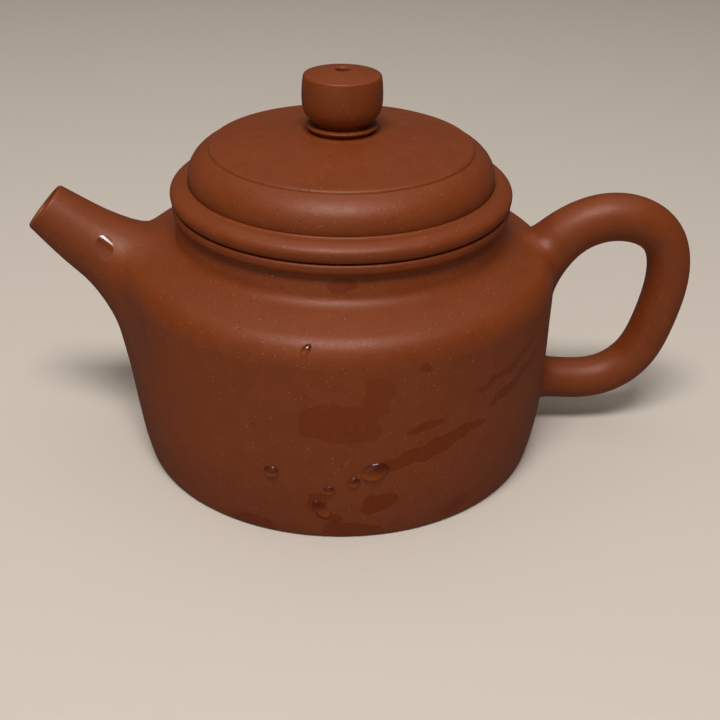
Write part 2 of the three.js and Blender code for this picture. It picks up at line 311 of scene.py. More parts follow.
def natural_spline(knots, values, t):
    """Natural cubic spline through values at knots."""
    h = np.diff(knots)
    n = len(knots)
    rows = np.eye(n)
    rhs = np.zeros((n, values.shape[1]))
    for i in range(1, n - 1):
        rows[i, i - 1:i + 2] = h[i - 1], 2 * (h[i - 1] + h[i]), h[i]
        rhs[i] = 3 * ((values[i + 1] - values[i]) / h[i]
                      - (values[i] - values[i - 1]) / h[i - 1])
    c = np.linalg.solve(rows, rhs)
    i = np.clip(np.searchsorted(knots, t, side="right") - 1, 0, n - 2)
    u = (t - knots[i])[:, None]
    gap = h[i][:, None]
    b = (values[i + 1] - values[i]) / gap - gap * (2 * c[i] + c[i + 1]) / 3
    return values[i] + b * u + c[i] * u ** 2 + (c[i + 1] - c[i]) / (3 * gap) * u ** 3


class Tube:
    """A round tube whose centreline lies in the XZ plane."""

    def __init__(self, centre, radius, tangent):
        self.centre = centre
        self.radius = radius
        self.tangent = tangent

    @classmethod
    def through(cls, stations, steps):
        """A tube through stations of (x, z, radius)."""
        stations = np.array(stations, float)
        gaps = np.hypot(np.diff(stations[:, 0]), np.diff(stations[:, 1])) ** 0.5
        knots = np.concatenate([[0], np.cumsum(gaps)])
        found = natural_spline(knots, stations, np.linspace(0, knots[-1], steps + 1))
        centre = np.stack([found[:, 0], np.zeros(steps + 1), found[:, 1]], 1)
        tangent = np.gradient(centre, axis=0)
        return cls(centre, found[:, 2], tangent / np.linalg.norm(tangent, axis=1)[:, None])

    def part(self, start, way):
        """The tube from one of its points to an end, walked forwards (1) or backwards (-1)."""
        cut = slice(start, None, way)
        return Tube(self.centre[cut], self.radius[cut], way * self.tangent[cut])

    def distance(self, points):
        """Signed distance from the tube's skin, and its gradient."""
        index, place, far = nearest_on(points, self.centre)
        step = self.centre[index + 1] - self.centre[index]
        near = self.centre[index] + place[:, None] * step
        radius = self.radius[index] + place * (self.radius[index + 1] - self.radius[index])
        return far - radius, (points - near) / np.maximum(far, 1e-9)[:, None]

    def skin(self, sides):
        """Surface points, [station, side, 3]."""
        angle = turns(sides)
        across = np.array([0.0, 1.0, 0.0])
        up = np.cross(self.tangent, across)
        direction = (np.cos(angle)[None, :, None] * across
                     + np.sin(angle)[None, :, None] * up[:, None, :])
        return self.centre[:, None, :] + self.radius[:, None, None] * direction


def blended(points, tube, blend):
    """Distance from the tube and the pot melted together, and roughly its gradient."""
    a, ga = tube.distance(points)
    b, gb = body_distance(points)
    k = blend(points)
    h = np.maximum(k - np.abs(a - b), 0) / k
    share = h[:, None] ** 2 / 2
    nearer = np.where((a < b)[:, None], ga, gb)
    other = np.where((a < b)[:, None], gb, ga)
    return np.minimum(a, b) - h ** 3 * k / 6, (1 - share) * nearer + share * other


def drawn_to(points, field, rounds):
    """Points moved onto the zero level of a field."""
    for _ in range(rounds):
        value, gradient = field(points)
        points = points - (value / (gradient ** 2).sum(1))[:, None] * gradient
    return points


def slope(points, field):
    """Unit normals of a field, by differences."""
    step = 0.02
    found = np.empty_like(points)
    for k in range(3):
        shift = np.zeros(3)
        shift[k] = step
        found[:, k] = field(points + shift)[0] - field(points - shift)[0]
    return found / np.linalg.norm(found, axis=1)[:, None]


def evened(paths, steps):
    """Paths [step, side, 3] walked at even spacing."""
    length = np.linalg.norm(np.diff(paths, axis=0), axis=2)
    along = np.vstack([np.zeros(paths.shape[1]), np.cumsum(length, axis=0)])
    out = np.empty((steps + 1, paths.shape[1], 3))
    for s in range(paths.shape[1]):
        want = np.linspace(0, along[-1, s], steps + 1)
        for k in range(3):
            out[:, s, k] = np.interp(want, along[:, s], paths[:, s, k])
    return out


def until(skin, depth, s):
    """Side s of a tube's skin, cut where its depth turns negative."""
    enters = np.argmax(depth[:, s] < 0)
    t = depth[enters - 1, s] / (depth[enters - 1, s] - depth[enters, s])
    hit = skin[enters - 1, s] * (1 - t) + skin[enters, s] * t
    return np.vstack([skin[:enters, s], hit[None]])


def root_paths(tube, sides, blend, walk, steps):
    """For each side of a tube that runs into the pot: along the tube's skin as far as the pot,
    then over the pot, away from the tube, as far as the blend reaches or the walk allows."""
    skin = tube.skin(sides)
    depth = body_distance(skin.reshape(-1, 3))[0].reshape(skin.shape[:2])
    runs = [until(skin, depth, s) for s in range(sides)]
    walkers = np.array([run[-1] for run in runs])
    trail = []
    for _ in range(int(walk / STRIDE)):
        far, away = tube.distance(walkers)
        normal = body_distance(walkers)[1]
        away = away - (away * normal).sum(1)[:, None] * normal
        away /= np.linalg.norm(away, axis=1)[:, None]
        moved = walkers + STRIDE * away
        distance, normal = body_distance(moved)
        moved = moved - distance[:, None] * normal
        going = (far < blend(walkers) + STRIDE)[:, None]
        walkers = np.where(going, moved, walkers)
        trail.append(walkers)
    trail = np.array(trail)
    paths = np.empty((steps + 1, sides, 3))
    for s, run in enumerate(runs):
        whole = np.vstack([run, trail[:, s]])
        paths[:, s:s + 1] = evened(whole[:, None, :], steps)
    return paths


def root_skin(tube, sides, blend, walk, steps):
    """Rings from a tube's free end to the edge of its root, and their normals."""
    def field(p):
        value, gradient = blended(p, tube, blend)
        return value - SKIN_LIFT, gradient

    paths = root_paths(tube, sides, blend, walk, steps)
    for rounds in (8, 4):
        points = drawn_to(paths.reshape(-1, 3), field, rounds)
        paths = evened(points.reshape(paths.shape), steps)
    points = drawn_to(paths.reshape(-1, 3), field, 3)
    return points.reshape(paths.shape), slope(points, field).reshape(paths.shape)


def sunk(points, depth):
    """Points moved to a depth under the pot's skin."""
    shape = points.shape
    points = points.reshape(-1, 3)
    for _ in range(4):
        distance, gradient = body_distance(points)
        points = points - (distance + depth)[:, None] * gradient
    return points.reshape(shape)


def hidden_band(start, end, rows):
    """Rings under the pot's skin between two rings, the ends left out."""
    t = np.linspace(0, 1, rows + 2)[1:-1, None, None]
    return sunk(start * (1 - t) + end * t, ROOT_DEPTH)


def bore_rings(tube, sides, rows):
    """Rings of a bore from the mouth to where it is under the pot's skin."""
    skin = tube.skin(sides)
    depth = body_distance(skin.reshape(-1, 3))[0].reshape(skin.shape[:2]) + ROOT_DEPTH
    out = np.empty((rows + 1, sides, 3))
    for s in range(sides):
        out[:, s:s + 1] = evened(until(skin, depth, s)[:, None, :], rows)
    return out


# ---- pot pieces ----

def make_base_disc():
    """The slab the pot stands on, with the foot's rounded edge."""
    rim = OUTSIDE.between(0, FLOOR_Z)
    return revolve("base_disc", [
        *flat((0, 0), rim.points[0]), rim, *flat(rim.points[-1], (0, FLOOR_Z)),
    ])


def make_body_wall():
    """The wall, with the hole through it behind the spout."""
    outside = OUTSIDE.between(FLOOR_Z, WALL_TOP_Z)
    heights = np.linspace(WALL_TOP_Z, FLOOR_Z, 24)
    inside = Strip(np.stack([wall_radius(heights) - CLAY, heights], 1))
    wall = revolve("body_wall", [
        outside, *flat(outside.points[-1], inside.points[0]),
        inside, *flat(inside.points[-1], outside.points[0]),
    ])
    axis = ((-BELLY_R - 4, 0, STRAINER_Z), (1, 0, 0))
    hole = rods("hole", [axis], SPOUT_ROOT_BORE_R, 0, 8, 48)
    return crisp(cut_with(wall, hole), CREASE_ANGLE)


def make_shoulder_plate():
    """The round shoulder and its slope, as far as the foot of the neck."""
    outside = OUTSIDE.between(WALL_TOP_Z, SHOULDER_TOP_Z)
    start = (BORE_R, SLOPE_Z - 0.7)
    inside = Strip(bend(start, (SLOPE_R - 2, TURN_Z - 1.2),
                        (BELLY_R - CLAY, TURN_Z - 2.2), (BELLY_R - CLAY, WALL_TOP_Z), 24))
    return revolve("shoulder_plate", [
        outside, *flat(outside.points[-1], (BORE_R, SHOULDER_TOP_Z), start),
        inside, *flat(inside.points[-1], outside.points[0]),
    ])


def make_neck_ring():
    """The short upright neck."""
    outside = OUTSIDE.between(SHOULDER_TOP_Z, NECK_TOP_Z)
    return revolve("neck_ring", [
        outside,
        *flat(outside.points[-1], (BORE_R, NECK_TOP_Z), (BORE_R, SHOULDER_TOP_Z),
              outside.points[0]),
    ])


def make_mouth_band():
    """The bead round the mouth, flat on top where the lid sits."""
    z = NECK_TOP_Z
    underside = line((NECK_R, z), (NECK_R + 0.3, z), 2)
    cheek = bend((NECK_R + 0.3, z), (NECK_R + 0.7, z + 0.1),
                 (BAND_R, z + 0.5), (BAND_R, z + 1.4), 12)
    brow = bend((BAND_R, MOUTH_Z - 0.55), (BAND_R, MOUTH_Z - 0.2),
                (BAND_R - 0.15, MOUTH_Z), (BAND_R - 0.5, MOUTH_Z), 8)
    seat = line((BAND_R - 0.5, MOUTH_Z), (BORE_R + 0.4, MOUTH_Z), 2)
    lip = bend((BORE_R + 0.4, MOUTH_Z), (BORE_R + 0.1, MOUTH_Z),
               (BORE_R, MOUTH_Z - 0.1), (BORE_R, MOUTH_Z - 0.4), 6)
    return revolve("mouth_band", [
        Strip(underside), Strip(joined(cheek, brow, seat, lip)),
        *flat((BORE_R, MOUTH_Z - 0.4), (BORE_R, z), (NECK_R, z)),
    ])


# ---- spout and handle ----

LOW_BLEND = 10.0            # reach of the soft flare between spout and body, under the spout
HIGH_BLEND = 12.7           # and over it
RISE_FROM, RISE_BY = 12, 30    # height where the flare starts to widen, and over how much
NECK_FADE = 2.2             # width at the neck's foot in which the flare dies out
LEAST_BLEND = 0.02          # share of the flare that is left there
HANDLE_BLEND = 4.5          # reach of the small fillet at the handle's roots

SPOUT_SIDES = 144
SPOUT_STEPS = 160           # along the spout's centreline and its bore's
SPOUT_WALK = 40.0           # longest way from the spout to the edge of its root
BORE_ROWS = 40
HANDLE_SIDES = 96
HANDLE_STEPS = 240
HANDLE_WALK = 14.0
ROOT_ROWS = 110             # rings from a tube's free end to the edge of its root

# Stations along each centreline: x, z and radius.
SPOUT_ROOT_BORE_R = 6.2
SPOUT_STATIONS = [
    (-59.3, 51.6, 5.2),
    (-51.7, 45.1, 6.7),
    (-47.1, 41.4, 7.35),
    (-42.3, 36.3, 8.1),
    (-38.0, 30.7, 9.1),
    (-35.2, 24.6, 9.6),
    (-33.0, 18.0, 9.2),
]
BORE_STATIONS = [
    (-59.3, 51.6, 4.2),
    (-54.4, 47.2, 4.5),
    (-48.8, 41.3, 5.1),
    (-44.4, 35.2, 5.7),
    (-39.6, 31.2, SPOUT_ROOT_BORE_R),
    (-34.0, 30.6, SPOUT_ROOT_BORE_R),
]
HANDLE_STATIONS = [
    (38.0, 33.0, 5.9),
    (41.8, 39.6, 5.8),
    (47.2, 45.5, 5.2),
    (54.2, 48.7, 5.0),
    (61.8, 48.2, 4.8),
    (67.6, 43.9, 4.45),
    (69.7, 35.6, 4.45),
    (68.3, 25.4, 4.45),
    (64.8, 16.4, 4.45),
    (58.1, 11.3, 4.45),
    (49.4, 10.5, 4.45),
    (36.0, 11.8, 4.45),
]


def spout_blend(points):
    """The spout's flare: it dies out at the neck and narrows towards the foot."""
    radius = np.hypot(points[:, 0], points[:, 1])
    to_neck = np.clip((radius - NECK_R + 0.6) / NECK_FADE, LEAST_BLEND, 1)
    rise = np.clip((points[:, 2] - RISE_FROM) / RISE_BY, 0, 1)
    rise = rise * rise * (3 - 2 * rise)
    return to_neck * (LOW_BLEND + (HIGH_BLEND - LOW_BLEND) * rise)


def handle_blend(points):
    """The handle's fillet, the same all round."""
    return np.full(len(points), HANDLE_BLEND)


def make_spout():
    """One skin: down the outside into the body, under its surface, and back up the bore."""
    sides = SPOUT_SIDES
    tube = Tube.through(SPOUT_STATIONS, SPOUT_STEPS)
    rings, normals = root_skin(tube, sides, spout_blend, SPOUT_WALK, ROOT_ROWS)
    bore = bore_rings(Tube.through(BORE_STATIONS, SPOUT_STEPS), sides, BORE_ROWS)
    lip = []
    for t in np.linspace(0, 1, 9)[1:-1]:
        across = bore[0] * (1 - t) + rings[0] * t
        lip.append(across - tube.tangent[0] * 0.45 * math.sin(math.pi * t) ** 0.7)
    edge = sunk(rings[-1], ROOT_DEPTH)
    band = hidden_band(edge, bore[-1], 14)
    stack = np.concatenate([rings, [edge], band, bore[::-1], lip])
    faces = grid_faces(len(stack), sides)
    last = (len(stack) - 1) * sides
    for k in range(sides):
        n = (k + 1) % sides
        faces.append([last + k, last + n, n, k])
    given = np.zeros_like(stack)
    given[2:len(rings)] = normals[2:]
    return new_object("spout", stack.reshape(-1, 3), faces, vertex_normals=given.reshape(-1, 3))


def make_handle():
    """Two halves that start at the handle's middle ring, each with its own root."""
    sides = HANDLE_SIDES
    whole = Tube.through(HANDLE_STATIONS, HANDLE_STEPS)
    halves = []
    for way in (-1, 1):
        half = whole.part(HANDLE_STEPS // 2, way)
        rings, normals = root_skin(half, sides, handle_blend, HANDLE_WALK, ROOT_ROWS)
        edge = sunk(rings[-1], ROOT_DEPTH)
        heart = sunk(edge.mean(0)[None], ROOT_DEPTH)
        band = hidden_band(edge, np.broadcast_to(heart, edge.shape), 6)
        given = np.concatenate([normals, np.zeros((1 + len(band), sides, 3))])
        halves.append((np.concatenate([rings, [edge], band]), given, heart))
    upper, lower = halves
    turned = (-np.arange(sides)) % sides
    stack = np.concatenate([upper[0][:0:-1, turned], lower[0]])
    given = np.concatenate([upper[1][:0:-1, turned], lower[1]])
    vertices = np.vstack([stack.reshape(-1, 3), upper[2], lower[2]])
    given = np.vstack([given.reshape(-1, 3), np.zeros((2, 3))])
    faces = grid_faces(len(stack), sides)
    heart = len(stack) * sides
    last = heart - sides
    for k in range(sides):
        n = (k + 1) % sides
        faces.append([heart, n, k])
        faces.append([last + k, last + n, heart + 1])
    return new_object("handle", vertices, faces, vertex_normals=given)


# ---- strainer ----

STRAINER_R = 8.2
STRAINER_T = 1.3                            # thickness
STRAINER_Z = 30.6                           # height of its axis
SKIRT = 1.0                                 # straight rim that stands in the wall's hole
HOLE_R = 0.8
HOLE_RINGS = [(0, 1), (30, 5), (56, 7)]     # tilt from the ball's axis, and how many
CREASE_ANGLE = 35                           # a cut piece's shading breaks at sharper edges


def cut_with(piece, cutter):
    """The piece less the cutter, which goes."""
    step = piece.modifiers.new("cut", "BOOLEAN")
    step.operation = "DIFFERENCE"
    step.solver = "EXACT"
    step.object = cutter
    bpy.context.view_layer.update()
    seen = piece.evaluated_get(bpy.context.evaluated_depsgraph_get())
    mesh = bpy.data.meshes.new_from_object(seen)
    piece.modifiers.clear()
    piece.data = mesh
    bpy.data.objects.remove(cutter)
    return piece


def crisp(piece, degrees):
    """Smooth shading that breaks where faces meet at more than an angle."""
    mesh = piece.data
    mesh.polygons.foreach_set("use_smooth", [True] * len(mesh.polygons))
    mesh.set_sharp_from_angle(angle=math.radians(degrees))
    return piece


def rods(name, axes, radius, start, end, sides):
    """Closed rods along several axes, each (centre, unit direction), as one object."""
    vertices = []
    faces = []
    for centre, direction in axes:
        direction = Vector(direction)
        across = direction.orthogonal().normalized()
        up = direction.cross(across)
        first = len(vertices)
        for far in (start, end):
            for k in range(sides):
                a = 2 * math.pi * k / sides
                out = (across * math.cos(a) + up * math.sin(a)) * radius
                vertices.append(tuple(Vector(centre) + direction * far + out))
        faces.extend([first + i for i in face] for face in grid_faces(2, sides))
        faces.append([first + k for k in reversed(range(sides))])
        faces.append([first + sides + k for k in range(sides)])
    return new_object(name, vertices, faces)


def make_strainer():
    """A pierced half ball behind the spout's hole."""
    inner = STRAINER_R - STRAINER_T
    tilt = np.radians(np.linspace(0, 90, 33))
    arc = np.stack([np.sin(tilt), np.cos(tilt)], 1)
    ball = revolve("strainer", [
        Strip(arc * inner),
        *flat((inner, 0), (inner, -SKIRT), (STRAINER_R, -SKIRT), (STRAINER_R, 0)),
        Strip(arc[::-1] * STRAINER_R),
    ], 96)
    axes = []
    for lean, count in HOLE_RINGS:
        out, ahead = math.sin(math.radians(lean)), math.cos(math.radians(lean))
        for k in range(count):
            turn = 2 * math.pi * (k + 0.5) / count
            axes.append(((0, 0, 0), (out * math.cos(turn), out * math.sin(turn), ahead)))
    holes = rods("holes", axes, HOLE_R, inner - 1, STRAINER_R + 1, 24)
    crisp(cut_with(ball, holes), CREASE_ANGLE)
    place = Matrix.Translation(Vector((CLAY - BELLY_R, 0, STRAINER_Z)) * MM)
    ball.data.transform(place @ Matrix.Rotation(math.pi / 2, 4, "Y"))
    return ball


# ---- lid pieces ----

def make_lid_flange():
    """The wall that hangs inside the mouth, with its lower edges rounded."""
    inner = FLANGE_R - FLANGE_T
    c = 0.5    # size of the rounding
    outer_foot = bend((FLANGE_R - c, FLANGE_Z), (FLANGE_R - 0.1, FLANGE_Z),
                      (FLANGE_R, FLANGE_Z + 0.1), (FLANGE_R, FLANGE_Z + c), 6)
    inner_foot = bend((inner, FLANGE_Z + c), (inner, FLANGE_Z + 0.1),
                      (inner + 0.1, FLANGE_Z), (inner + c, FLANGE_Z), 6)
    seam = LID_Z - 0.02
    face = joined(inner_foot, line((inner + c, FLANGE_Z), (FLANGE_R - c, FLANGE_Z), 2),
                  outer_foot, line((FLANGE_R, FLANGE_Z + c), (FLANGE_R, seam), 4))
    return revolve("lid_flange", [
        Strip(face), *flat((FLANGE_R, seam), (inner, seam), (inner, FLANGE_Z + c)),
    ])


def make_lid_rim_band():
    """The rounded band round the lid's edge, with a fine ridge at the dome's foot."""
    turn = bend((RIM_R - 0.75, LID_Z), (RIM_R - 0.5, LID_Z), (RIM_R, LID_Z + 0.6),
                (RIM_R, LID_Z + 1.6), 10)
    brow = bend((RIM_R, LID_Z + 1.6), (RIM_R, LID_Z + 2.5),
                (RIM_R - 0.8, LID_Z + 2.95), (RIM_R - 1.6, LID_Z + 3.3), 14)
    rise = bend((RIM_R - 1.6, LID_Z + 3.3), (RIM_R - 2.2, LID_Z + 3.56),
                (CREASE_R + 0.6, RIM_TOP_Z - 0.35), (CREASE_R + 0.3, RIM_TOP_Z - 0.18), 6)
    ridge = bend((CREASE_R + 0.3, RIM_TOP_Z - 0.18), (CREASE_R + 0.15, RIM_TOP_Z - 0.05),
                 (CREASE_R + 0.1, RIM_TOP_Z), (CREASE_R - 0.05, RIM_TOP_Z), 6)
    inner = CREASE_R - 0.4
    underside = line((inner, LID_Z), (RIM_R - 0.75, LID_Z), 2)
    return revolve("lid_rim_band", [
        Strip(underside), Strip(joined(turn, brow, rise, ridge)),
        *flat((CREASE_R - 0.05, RIM_TOP_Z), (inner, RIM_TOP_Z - 0.4), (inner, LID_Z)),
    ])


def make_lid_dome():
    """The bulging dome, a seat for the raised disc, and the arched inside."""
    crease = (CREASE_R - 0.3, RIM_TOP_Z - 0.4)
    bulge = bend(crease, (CREASE_R + 0.4, RIM_TOP_Z + 3.1), (DISC_R + 2.4, DISC_Z - 1.5),
                 (DISC_R - 0.1, DISC_Z - 0.5), 26)
    disc_seat = line((DISC_R - 0.1, DISC_Z - 0.5), (VENT_R, DISC_Z + 0.5), 2)
    inner = FLANGE_R - FLANGE_T
    inside = joined(
        bend((VENT_R, LID_ARCH_Z), (22.1, LID_ARCH_Z - 1.2),
             (inner, LID_SPRING_Z + 2.5), (inner, LID_SPRING_Z), 24),
        line((inner, LID_SPRING_Z), (inner, LID_Z), 4))
    return revolve("lid_dome", [
        Strip(bulge), Strip(disc_seat), *flat((VENT_R, DISC_Z + 0.5), (VENT_R, LID_ARCH_Z)),
        Strip(inside), *flat((inner, LID_Z), (crease[0], LID_Z), crease),
    ])


def make_lid_raised_disc():
    """The thin disc on the dome, swept up to the collar's groove."""
    edge = bend((DISC_R, DISC_FOOT_Z - 0.2), (DISC_R, DISC_Z - 0.3),
                (DISC_R - 0.25, DISC_Z), (DISC_R - 0.6, DISC_Z + 0.05), 10)
    sweep = bend((DISC_R - 0.6, DISC_Z + 0.05), (16.3, DISC_Z + 1.2),
                 (12.7, DISC_CENTRE_Z - 0.4), (LIP_R + 0.5, DISC_CENTRE_Z + 0.1), 30)
    lip = bend((LIP_R + 0.5, DISC_CENTRE_Z + 0.1), (LIP_R, DISC_CENTRE_Z + 0.35),
               (LIP_R - 0.6, DISC_CENTRE_Z + 0.3), (LIP_R - 1.1, DISC_CENTRE_Z), 8)
    groove = line((LIP_R - 1.1, DISC_CENTRE_Z), (VENT_R, DISC_CENTRE_Z), 2)
    under = DISC_FOOT_Z - 0.2
    return revolve("lid_raised_disc", [
        Strip(joined(edge, sweep, lip)), Strip(groove),
        *flat((VENT_R, DISC_CENTRE_Z), (VENT_R, DISC_Z + 0.3), (DISC_R - 2, under),
              (DISC_R, under)),
    ])


def make_knob_collar():
    """A thin disc under the knob, undercut below its edge."""
    z = DISC_CENTRE_Z
    ring = joined(
        bend((COLLAR_R - 0.9, z), (COLLAR_R - 0.85, z + 0.35), (COLLAR_R - 0.7, z + 0.5),
             (COLLAR_R - 0.3, z + 0.62), 4),
        bend((COLLAR_R - 0.3, z + 0.62), (COLLAR_R + 0.05, z + 0.75),
             (COLLAR_R + 0.05, z + 1.15), (COLLAR_R - 0.2, z + 1.25), 8),
        bend((COLLAR_R - 0.2, z + 1.25), (COLLAR_R - 0.5, COLLAR_TOP_Z - 0.02),
             (COLLAR_R - 1.0, COLLAR_TOP_Z), (COLLAR_R - 1.8, COLLAR_TOP_Z), 6))
    return revolve("knob_collar", [
        Strip(ring), *flat((COLLAR_R - 1.8, COLLAR_TOP_Z), (VENT_R, COLLAR_TOP_Z), (VENT_R, z),
                           (COLLAR_R - 0.9, z)),
    ], SMALL_ROUND)


def make_knob():
    """The drum: round below, nearly upright, then a crisp edge and a low crown."""
    z = COLLAR_TOP_Z
    foot_r = KNOB_R - 2.5
    side = joined(
        bend((foot_r, z), (foot_r + 0.1, z + 0.5), (foot_r + 0.6, z + 0.7),
             (foot_r + 1.1, z + 1.15), 6),
        bend((foot_r + 1.1, z + 1.15), (foot_r + 2.1, z + 2.0), (KNOB_R, z + 3.2),
             (KNOB_R, z + 5.2), 16),
        bend((KNOB_R, z + 5.2), (KNOB_R, z + 7.0), (KNOB_R - 0.15, KNOB_EDGE_Z - 1.0),
             (KNOB_R - 0.28, KNOB_EDGE_Z - 0.1), 12),
        bend((KNOB_R - 0.28, KNOB_EDGE_Z - 0.1), (KNOB_R - 0.33, KNOB_EDGE_Z + 0.22),
             (KNOB_R - 0.5, KNOB_EDGE_Z + 0.3), (KNOB_R - 0.8, KNOB_EDGE_Z + 0.36), 8),
        bend((KNOB_R - 0.8, KNOB_EDGE_Z + 0.36), (4.35, KNOB_TOP_Z - 0.3),
             (2.6, KNOB_TOP_Z), (VENT_R + 0.5, KNOB_TOP_Z), 14),
        bend((VENT_R + 0.5, KNOB_TOP_Z), (VENT_R + 0.2, KNOB_TOP_Z),
             (VENT_R, KNOB_TOP_Z - 0.15), (VENT_R, KNOB_TOP_Z - 0.5), 6))
    return revolve("knob", [
        Strip(side), *flat((VENT_R, KNOB_TOP_Z - 0.5), (VENT_R, z), (foot_r, z)),
    ], SMALL_ROUND)


# ---- clay ----

class Nodes:
    """Shader nodes, with the few kinds this clay needs by short names."""

    def __init__(self, material):
        self.tree = material.node_tree

    def add(self, kind, inputs=(), **settings):
        node = self.tree.nodes.new("ShaderNode" + kind)
        for key, value in settings.items():
            setattr(node, key, value)
        for key, value in dict(inputs).items():
            self.put(node.inputs[key], value)
        return node

    def put(self, socket, value):
        if isinstance(value, bpy.types.NodeSocket):
            self.tree.links.new(value, socket)
        else:
            socket.default_value = value

    def math(self, operation, *values):
        return self.add("Math", enumerate(values), operation=operation).outputs[0]

    def vector(self, operation, *values):
        return self.add("VectorMath", enumerate(values), operation=operation).outputs[0]

    def noise(self, where, scale, detail=2.0, roughness=0.5):
        return self.add("TexNoise", {"Vector": where, "Scale": scale, "Detail": detail,
                                     "Roughness": roughness}).outputs["Fac"]

    def ramp(self, value, low, high, to_low=0.0, to_high=1.0):
        node = self.add("MapRange", {"Value": value, "From Min": low, "From Max": high,
                                     "To Min": to_low, "To Max": to_high},
                        interpolation_type="SMOOTHSTEP")
        return node.outputs["Result"]

    def mix(self, share, a, b):
        node = self.add("Mix", data_type="RGBA")
        self.put(node.inputs["Factor"], share)
        self.put(node.inputs["A"], a)
        self.put(node.inputs["B"], b)
        return node.outputs["Result"]


# Colours are linear red, green, blue and alpha.
CLAY_RED = (0.180, 0.034, 0.0045, 1)
CLAY_DEEP = (0.140, 0.024, 0.003, 1)
CLAY_ORANGE = (0.206, 0.042, 0.0055, 1)
SAND = (0.42, 0.165, 0.060, 1)
DARK_GRAIN = (0.09, 0.018, 0.005, 1)
WET_CLAY = (0.148, 0.022, 0.0008, 1)
# a drop's colours: painted light at its foot, where light would shine through it, and painted
# shade at its upper edge
DROP_PAINTED_LIGHT = (0.29, 0.068, 0.009, 1)
DROP_PAINTED_SHADE = (0.070, 0.010, 0.002, 1)
GLEAM = (1.0, 0.80, 0.72, 1)            # tint of the clay's highlights

# Wet marks on the pot: place along the wall from the front, height, half length, half height,
# slant in degrees, and how wet. Lengths are in millimetres.
WET_MARKS = [
    (-1.5, 27.5, 7.5, 4.2, 0, 0.55),
    (5.0, 32.5, 2.6, 4.5, 0, 0.45),
    (16.6, 20.0, 11.5, 1.7, 12, 0.85),
    (14.6, 25.3, 3.4, 0.8, 14, 0.8),
    (35.5, 32.3, 9.5, 1.0, 14, 0.9),
    (36.8, 28.0, 8.5, 1.0, 16, 0.9),
    (-6.2, 9.3, 2.2, 2.4, 0, 0.85),
    (-3.2, 5.8, 3.2, 1.5, -30, 0.9),
    (5.8, 9.0, 3.4, 2.2, 10, 0.9),
    (-19.0, 1.6, 5.5, 1.6, 0, 0.8),
    (1.5, 2.0, 6.0, 2.0, 0, 0.8),
    (23.5, 3.2, 3.0, 1.7, 0, 0.7),
    (14.2, 37.6, 1.2, 0.9, 0, 0.8),
    (-0.8, 49.4, 3.0, 1.6, 0, 0.9),
]
FRONT_R = 44.0              # radius at which the place along the wall is measured
WARP_SCALE = 0.16           # unevenness of the marks' outlines, per millimetre
WARP_REACH = 5.0            # and how far it moves them
WET_GLOSS = 0.2             # how much smoother the wet clay is
BUMP_STRENGTH = 0.6
BUMP_HEIGHT = 0.08          # height of the grain, in millimetres


def wet_share(n, where):
    """From 0, dry, to 1, wet, over the pot. A mark is a rounded rectangle of uneven outline."""
    warp = n.add("TexNoise", {"Vector": where, "Scale": WARP_SCALE, "Detail": 2.0})
    middle = n.vector("SUBTRACT", warp.outputs["Color"], (0.5, 0.5, 0.5))
    shift = n.vector("MULTIPLY", middle, (WARP_REACH, WARP_REACH, WARP_REACH))
    moved = n.vector("ADD", where, shift)
    split = n.add("SeparateXYZ", {0: moved}).outputs
    behind = n.math("MULTIPLY", split["Y"], -1.0)
    along = n.math("MULTIPLY", n.math("ARCTAN2", split["X"], behind), FRONT_R)
    total = 0.0
    for centre, height, half, tall, slant, wet in WET_MARKS:
        c, s = math.cos(math.radians(slant)), math.sin(math.radians(slant))
        dx = n.math("SUBTRACT", along, centre)
        dz = n.math("SUBTRACT", split["Z"], height)
        u = n.math("ADD", n.math("MULTIPLY", dx, c / half), n.math("MULTIPLY", dz, s / half))
        v = n.math("SUBTRACT", n.math("MULTIPLY", dz, c / tall),
                   n.math("MULTIPLY", dx, s / tall))
        far = n.math("ADD", n.math("POWER", n.math("ABSOLUTE", u), 3.0),
                     n.math("POWER", n.math("ABSOLUTE", v), 3.0))
        total = n.math("MAXIMUM", total, n.ramp(far, 1.12, 0.88, 0.0, wet))
    return total


